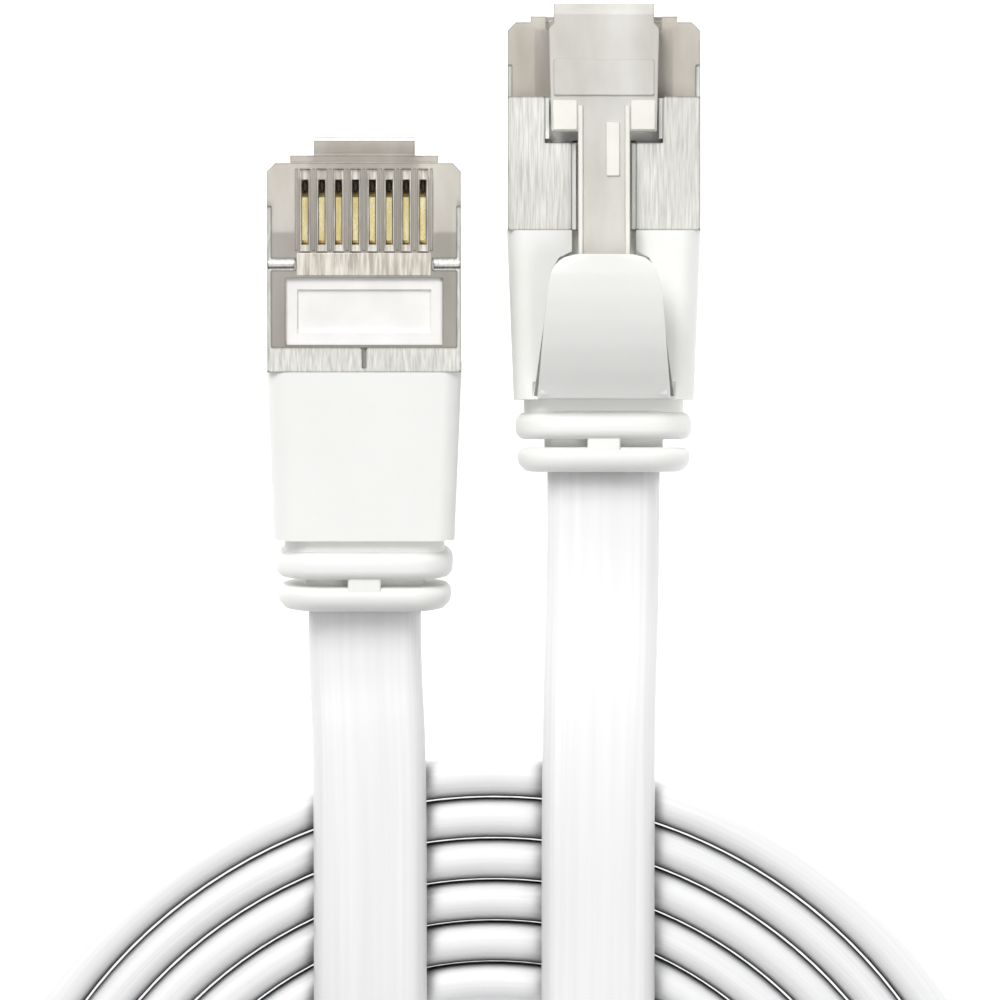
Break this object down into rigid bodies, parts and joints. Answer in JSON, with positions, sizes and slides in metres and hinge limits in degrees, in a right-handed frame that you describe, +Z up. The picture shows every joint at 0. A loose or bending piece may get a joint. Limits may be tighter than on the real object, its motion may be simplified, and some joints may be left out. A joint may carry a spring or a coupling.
{
  "type": "ethernet patch cable",
  "caption": "Flat shielded network patch cable: clear modular plugs with metal shields, white boots with latch flaps, and a flat cable wound in a low coil.",
  "frame": {"origin": "on the floor, midway between the two plugs and under the middle of their box", "axes": "+Z up from the floor, +Y along the plugs towards their noses, +X across both plugs from plug A to plug B"},
  "size_m": [0.0669, 0.1112, 0.0139],
  "materials": {
    "clear_plastic": "clear, slightly warm polycarbonate",
    "gold_plate": "gold plated, bright",
    "guide_plastic": "translucent",
    "white_plastic": "smooth",
    "shield_metal": "bright nickel, fine lengthwise grain",
    "foil": "thin foil",
    "cable_jacket": "soft satin jacket",
    "boot_plastic": "soft matte moulding",
    "wire_white_orange": "insulation",
    "wire_orange": "insulation",
    "wire_white_green": "insulation",
    "wire_blue": "insulation",
    "wire_white_blue": "insulation",
    "wire_green": "insulation",
    "wire_white_brown": "insulation",
    "wire_brown": "insulation"
  },
  "bodies": {
    "cable_and_plugs": {"plug_a_housing": "clear_plastic", "plug_a_contacts": "gold_plate", "plug_a_wire_guide": "guide_plastic", "plug_a_clamp_bar": "white_plastic", "plug_a_shield": "shield_metal", "plug_a_foil_wrap": "foil", "plug_a_jacket_end": "cable_jacket", "plug_a_boot": "boot_plastic", "plug_a_strain_relief": "boot_plastic", "plug_a_wire_white_orange": "wire_white_orange", "plug_a_wire_orange": "wire_orange", "plug_a_wire_white_green": "wire_white_green", "plug_a_wire_blue": "wire_blue", "plug_a_wire_white_blue": "wire_white_blue", "plug_a_wire_green": "wire_green", "plug_a_wire_white_brown": "wire_white_brown", "plug_a_wire_brown": "wire_brown", "plug_b_housing": "clear_plastic", "plug_b_contacts": "gold_plate", "plug_b_wire_guide": "guide_plastic", "plug_b_clamp_bar": "white_plastic", "plug_b_shield": "shield_metal", "plug_b_foil_wrap": "foil", "plug_b_jacket_end": "cable_jacket", "plug_b_boot": "boot_plastic", "plug_b_strain_relief": "boot_plastic", "plug_b_wire_white_orange": "wire_white_orange", "plug_b_wire_orange": "wire_orange", "plug_b_wire_white_green": "wire_white_green", "plug_b_wire_blue": "wire_blue", "plug_b_wire_white_blue": "wire_white_blue", "plug_b_wire_green": "wire_green", "plug_b_wire_white_brown": "wire_white_brown", "plug_b_wire_brown": "wire_brown", "cable_coil": "cable_jacket", "cable_lead_a": "cable_jacket", "cable_lead_b": "cable_jacket"},
    "plug_a_latch": {"plug_a_latch": "clear_plastic"},
    "plug_a_boot_flap": {"plug_a_boot_flap": "boot_plastic"},
    "plug_b_latch": {"plug_b_latch": "clear_plastic"},
    "plug_b_boot_flap": {"plug_b_boot_flap": "boot_plastic"}
  },
  "joints": [
    {"name": "plug_a_flap_hinge", "type": "hinge", "parent": "cable_and_plugs", "child": "plug_a_boot_flap", "pos_m": [-0.0072, -0.01279, 0.00335], "axis": [1, 0, 0], "range_deg": [0, 20], "stiffness_Nm_per_rad": 0.0003},
    {"name": "plug_a_latch_hinge", "type": "hinge", "parent": "cable_and_plugs", "child": "plug_a_latch", "pos_m": [-0.0072, 0.00976, 0.00803], "axis": [-1, 0, 0], "range_deg": [0, 9.7], "stiffness_Nm_per_rad": 0.0008},
    {"name": "plug_b_flap_hinge", "type": "hinge", "parent": "cable_and_plugs", "child": "plug_b_boot_flap", "pos_m": [0.0073, -0.005, 0.0085], "axis": [-1, 0, 0], "range_deg": [0, 20], "stiffness_Nm_per_rad": 0.0003},
    {"name": "plug_b_latch_hinge", "type": "hinge", "parent": "cable_and_plugs", "child": "plug_b_latch", "pos_m": [0.0073, 0.0179, 0.006], "axis": [1, 0, 0], "range_deg": [0, 9.7], "stiffness_Nm_per_rad": 0.0008}
  ],
  "couplings": [
    {"joint": "plug_a_flap_hinge", "follows": "plug_a_latch_hinge", "ratio": 2.05},
    {"joint": "plug_b_flap_hinge", "follows": "plug_b_latch_hinge", "ratio": 2.05}
  ]
}
